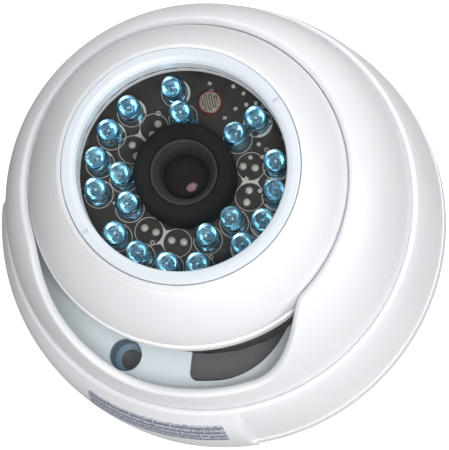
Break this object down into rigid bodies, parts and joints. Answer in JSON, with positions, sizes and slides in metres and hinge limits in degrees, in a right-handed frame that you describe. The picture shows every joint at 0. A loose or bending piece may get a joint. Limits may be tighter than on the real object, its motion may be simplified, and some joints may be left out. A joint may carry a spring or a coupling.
{
  "type": "dome cctv camera",
  "caption": "Round ceiling security camera: a notched dome cover turns on a flared base and holds a tilting ball with a ringed window, lens and infrared LEDs.",
  "frame": {"origin": "bottom centre of the base, on the face that lies against the ceiling", "axes": "+Z straight out of the ceiling face, the way the ball looks at rest; -Y towards the dome cover's notch; X along the tilt axis"},
  "size_m": [0.0975, 0.0979, 0.0697],
  "materials": {
    "white_paint": "smooth satin white powder coat",
    "plated_steel": "plain zinc plated",
    "white_plastic": "moulded, slightly blue white",
    "black_plastic": "moulded, satin",
    "black_rubber": "matt soft rubber",
    "window": "flat clear glass",
    "lens_coating": "polished, purple coated",
    "circuit_board": "black solder mask with pale pads",
    "led_epoxy": "clear blue tinted epoxy",
    "sensor_face": "coated ceramic with a red track",
    "nylon": "natural nylon",
    "label": null,
    "chip": "dark cover glass in a ceramic case"
  },
  "bodies": {
    "base": {"mounting_tray": "white_paint", "base_housing": "white_paint", "glide_ring": "nylon", "cable_grommet": "black_rubber", "rating_label": "label", "tray_screw_1": "plated_steel", "tray_screw_2": "plated_steel", "tray_screw_3": "plated_steel"},
    "dome": {"dome_cover": "white_paint", "turntable": "white_plastic", "keeper_ring": "black_plastic", "dust_shield": "black_plastic", "cover_screw_1": "plated_steel", "cover_screw_2": "plated_steel", "cover_screw_3": "plated_steel"},
    "yoke": {"yoke": "plated_steel", "pivot_pin_left": "plated_steel", "pivot_pin_right": "plated_steel"},
    "slider": {"roll_bolt": "plated_steel", "slide_washer": "nylon", "roll_nut": "plated_steel"},
    "ball": {"ball_front_shell": "white_paint", "ball_rear_shell": "white_plastic", "retaining_ring": "white_paint", "window_glass": "window", "window_seal": "black_rubber", "led_board": "circuit_board", "light_sensor": "sensor_face", "lens_hood": "black_rubber", "lens_barrel": "black_plastic", "lens_glass": "lens_coating", "lens_mount": "black_plastic", "image_sensor": "chip", "image_board": "circuit_board", "power_board": "circuit_board", "board_post_right": "plated_steel", "board_post_left": "plated_steel", "board_pillar_right": "plated_steel", "board_pillar_left": "plated_steel", "led_01": "led_epoxy", "led_02": "led_epoxy", "led_03": "led_epoxy", "led_04": "led_epoxy", "led_05": "led_epoxy", "led_06": "led_epoxy", "led_07": "led_epoxy", "led_08": "led_epoxy", "led_09": "led_epoxy", "led_10": "led_epoxy", "led_11": "led_epoxy", "led_12": "led_epoxy", "led_13": "led_epoxy", "led_14": "led_epoxy", "led_15": "led_epoxy", "led_16": "led_epoxy", "led_17": "led_epoxy", "led_18": "led_epoxy", "led_19": "led_epoxy", "led_20": "led_epoxy"}
  },
  "joints": [
    {"name": "pan", "type": "hinge", "parent": "base", "child": "dome", "pos_m": [0, 0, 0.0229], "axis": [0, 0, 1], "range_deg": [-177, 177]},
    {"name": "tilt", "type": "hinge", "parent": "dome", "child": "yoke", "pos_m": [0, 0, 0.0433], "axis": [1, 0, 0], "range_deg": [-20, 75]},
    {"name": "lean", "type": "hinge", "parent": "yoke", "child": "slider", "pos_m": [0, 0, 0.0433], "axis": [0, 1, 0], "range_deg": [-15.3, 4.7]},
    {"name": "roll", "type": "hinge", "parent": "slider", "child": "ball", "pos_m": [0, 0, 0.0433], "axis": [0.0924, 0, 0.9957], "range_deg": [-170, 170]}
  ]
}
